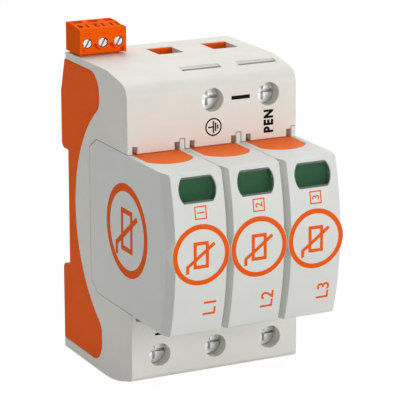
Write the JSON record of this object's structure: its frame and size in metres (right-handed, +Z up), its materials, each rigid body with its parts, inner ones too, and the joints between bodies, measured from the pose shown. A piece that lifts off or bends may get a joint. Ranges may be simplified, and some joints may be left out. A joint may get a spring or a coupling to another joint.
{
  "type": "din rail surge arrester",
  "caption": "Pluggable surge arrester on a top-hat rail base, with screw clamp terminals, status windows, pull-out protection plugs and a plug-in signalling terminal.",
  "frame": {"origin": "middle of the rail seat: halfway along the width, on the seat's plane, at the rail's centre", "axes": "+X along the rail to the right as seen from the front, front faces -Y, +Z up"},
  "size_m": [0.0532, 0.0746, 0.1003],
  "materials": {
    "housing_grey": "fine satin moulding",
    "housing_orange": "fine satin moulding",
    "plug_grey": "fine satin moulding",
    "screw_steel": "zinc plated",
    "clamp_steel": "zinc plated",
    "spring_steel": "bright drawn wire",
    "contact_metal": "tinned copper alloy",
    "window_clear": "clear polished moulding",
    "flag_green": "satin",
    "fault_red": "satin",
    "varistor_blue": "dipped resin",
    "signal_black": "satin"
  },
  "bodies": {
    "root": {"front_housing": "housing_grey", "rear_housing": "housing_orange", "common_bar": "contact_metal", "signal_header": "signal_black", "signal_switch": "signal_black", "foot_spring": "spring_steel", "line_bar_1": "contact_metal", "line_bar_2": "contact_metal", "line_bar_3": "contact_metal"},
    "foot": {"rail_foot": "housing_orange"},
    "signal_plug": {"signal_plug_body": "housing_orange", "signal_contacts": "contact_metal"},
    "upper_screw_2": {"upper_screw_2": "screw_steel"},
    "upper_clamp_2": {"upper_clamp_2": "clamp_steel"},
    "upper_screw_3": {"upper_screw_3": "screw_steel"},
    "upper_clamp_3": {"upper_clamp_3": "clamp_steel"},
    "lower_screw_1": {"lower_screw_1": "screw_steel"},
    "lower_clamp_1": {"lower_clamp_1": "clamp_steel"},
    "lower_screw_2": {"lower_screw_2": "screw_steel"},
    "lower_clamp_2": {"lower_clamp_2": "clamp_steel"},
    "lower_screw_3": {"lower_screw_3": "screw_steel"},
    "lower_clamp_3": {"lower_clamp_3": "clamp_steel"},
    "signal_screw_1": {"signal_screw_1": "screw_steel"},
    "signal_clamp_1": {"signal_clamp_1": "clamp_steel"},
    "signal_screw_2": {"signal_screw_2": "screw_steel"},
    "signal_clamp_2": {"signal_clamp_2": "clamp_steel"},
    "signal_screw_3": {"signal_screw_3": "screw_steel"},
    "signal_clamp_3": {"signal_clamp_3": "clamp_steel"},
    "plug_1": {"plug_shell_1": "plug_grey", "plug_plate_1": "plug_grey", "plug_insert_1": "housing_orange", "window_1": "window_clear", "fault_field_1": "fault_red", "flag_spring_1": "spring_steel", "varistor_1": "varistor_blue", "upper_blade_1": "contact_metal", "lower_blade_1": "contact_metal"},
    "flag_1": {"status_flag_1": "flag_green"},
    "plug_2": {"plug_shell_2": "plug_grey", "plug_plate_2": "plug_grey", "plug_insert_2": "housing_orange", "window_2": "window_clear", "fault_field_2": "fault_red", "flag_spring_2": "spring_steel", "varistor_2": "varistor_blue", "upper_blade_2": "contact_metal", "lower_blade_2": "contact_metal"},
    "flag_2": {"status_flag_2": "flag_green"},
    "plug_3": {"plug_shell_3": "plug_grey", "plug_plate_3": "plug_grey", "plug_insert_3": "housing_orange", "window_3": "window_clear", "fault_field_3": "fault_red", "flag_spring_3": "spring_steel", "varistor_3": "varistor_blue", "upper_blade_3": "contact_metal", "lower_blade_3": "contact_metal"},
    "flag_3": {"status_flag_3": "flag_green"}
  },
  "joints": [
    {"name": "foot_slide", "type": "slide", "parent": "root", "child": "foot", "axis": [0, 0, -1], "range_m": [0, 0.0035], "stiffness_N_per_m": 300, "springref_m": -0.002, "deforming": ["foot_spring"]},
    {"name": "signal_plug_slide", "type": "slide", "parent": "root", "child": "signal_plug", "axis": [0, 0, 1], "range_m": [0, 0.009]},
    {"name": "upper_screw_2_turn", "type": "hinge", "parent": "root", "child": "upper_screw_2", "pos_m": [0, -0.03, 0.0385], "axis": [0, 1, 0], "range_deg": [0, 2700]},
    {"name": "upper_clamp_2_slide", "type": "slide", "parent": "root", "child": "upper_clamp_2", "axis": [0, -1, 0], "range_m": [0, 0.006]},
    {"name": "upper_screw_3_turn", "type": "hinge", "parent": "root", "child": "upper_screw_3", "pos_m": [0.0178, -0.03, 0.0385], "axis": [0, 1, 0], "range_deg": [0, 2700]},
    {"name": "upper_clamp_3_slide", "type": "slide", "parent": "root", "child": "upper_clamp_3", "axis": [0, -1, 0], "range_m": [0, 0.006]},
    {"name": "lower_screw_1_turn", "type": "hinge", "parent": "root", "child": "lower_screw_1", "pos_m": [-0.0178, -0.03, -0.0338], "axis": [0, 1, 0], "range_deg": [0, 2700]},
    {"name": "lower_clamp_1_slide", "type": "slide", "parent": "root", "child": "lower_clamp_1", "axis": [0, -1, 0], "range_m": [0, 0.006]},
    {"name": "lower_screw_2_turn", "type": "hinge", "parent": "root", "child": "lower_screw_2", "pos_m": [0, -0.03, -0.0338], "axis": [0, 1, 0], "range_deg": [0, 2700]},
    {"name": "lower_clamp_2_slide", "type": "slide", "parent": "root", "child": "lower_clamp_2", "axis": [0, -1, 0], "range_m": [0, 0.006]},
    {"name": "lower_screw_3_turn", "type": "hinge", "parent": "root", "child": "lower_screw_3", "pos_m": [0.0178, -0.03, -0.0338], "axis": [0, 1, 0], "range_deg": [0, 2700]},
    {"name": "lower_clamp_3_slide", "type": "slide", "parent": "root", "child": "lower_clamp_3", "axis": [0, -1, 0], "range_m": [0, 0.006]},
    {"name": "signal_screw_1_turn", "type": "hinge", "parent": "signal_plug", "child": "signal_screw_1", "pos_m": [-0.02395, -0.006, 0.0509], "axis": [0, 1, 0], "range_deg": [0, 1152]},
    {"name": "signal_clamp_1_slide", "type": "slide", "parent": "signal_plug", "child": "signal_clamp_1", "axis": [0, -1, 0], "range_m": [0, 0.0016]},
    {"name": "signal_screw_2_turn", "type": "hinge", "parent": "signal_plug", "child": "signal_screw_2", "pos_m": [-0.01905, -0.006, 0.0509], "axis": [0, 1, 0], "range_deg": [0, 1152]},
    {"name": "signal_clamp_2_slide", "type": "slide", "parent": "signal_plug", "child": "signal_clamp_2", "axis": [0, -1, 0], "range_m": [0, 0.0016]},
    {"name": "signal_screw_3_turn", "type": "hinge", "parent": "signal_plug", "child": "signal_screw_3", "pos_m": [-0.01415, -0.006, 0.0509], "axis": [0, 1, 0], "range_deg": [0, 1152]},
    {"name": "signal_clamp_3_slide", "type": "slide", "parent": "signal_plug", "child": "signal_clamp_3", "axis": [0, -1, 0], "range_m": [0, 0.0016]},
    {"name": "plug_1_slide", "type": "slide", "parent": "root", "child": "plug_1", "axis": [0, -1, 0], "range_m": [0, 0.04]},
    {"name": "flag_1_drop", "type": "slide", "parent": "plug_1", "child": "flag_1", "axis": [0, 0, -1], "range_m": [0, 0.0078], "deforming": ["flag_spring_1"]},
    {"name": "plug_2_slide", "type": "slide", "parent": "root", "child": "plug_2", "axis": [0, -1, 0], "range_m": [0, 0.04]},
    {"name": "flag_2_drop", "type": "slide", "parent": "plug_2", "child": "flag_2", "axis": [0, 0, -1], "range_m": [0, 0.0078], "deforming": ["flag_spring_2"]},
    {"name": "plug_3_slide", "type": "slide", "parent": "root", "child": "plug_3", "axis": [0, -1, 0], "range_m": [0, 0.04]},
    {"name": "flag_3_drop", "type": "slide", "parent": "plug_3", "child": "flag_3", "axis": [0, 0, -1], "range_m": [0, 0.0078], "deforming": ["flag_spring_3"]}
  ],
  "couplings": [
    {"joint": "upper_screw_2_turn", "follows": "upper_clamp_2_slide", "rad_per_m": 7854},
    {"joint": "upper_screw_3_turn", "follows": "upper_clamp_3_slide", "rad_per_m": 7854},
    {"joint": "lower_screw_1_turn", "follows": "lower_clamp_1_slide", "rad_per_m": 7854},
    {"joint": "lower_screw_2_turn", "follows": "lower_clamp_2_slide", "rad_per_m": 7854},
    {"joint": "lower_screw_3_turn", "follows": "lower_clamp_3_slide", "rad_per_m": 7854},
    {"joint": "signal_screw_1_turn", "follows": "signal_clamp_1_slide", "rad_per_m": 12566},
    {"joint": "signal_screw_2_turn", "follows": "signal_clamp_2_slide", "rad_per_m": 12566},
    {"joint": "signal_screw_3_turn", "follows": "signal_clamp_3_slide", "rad_per_m": 12566}
  ]
}
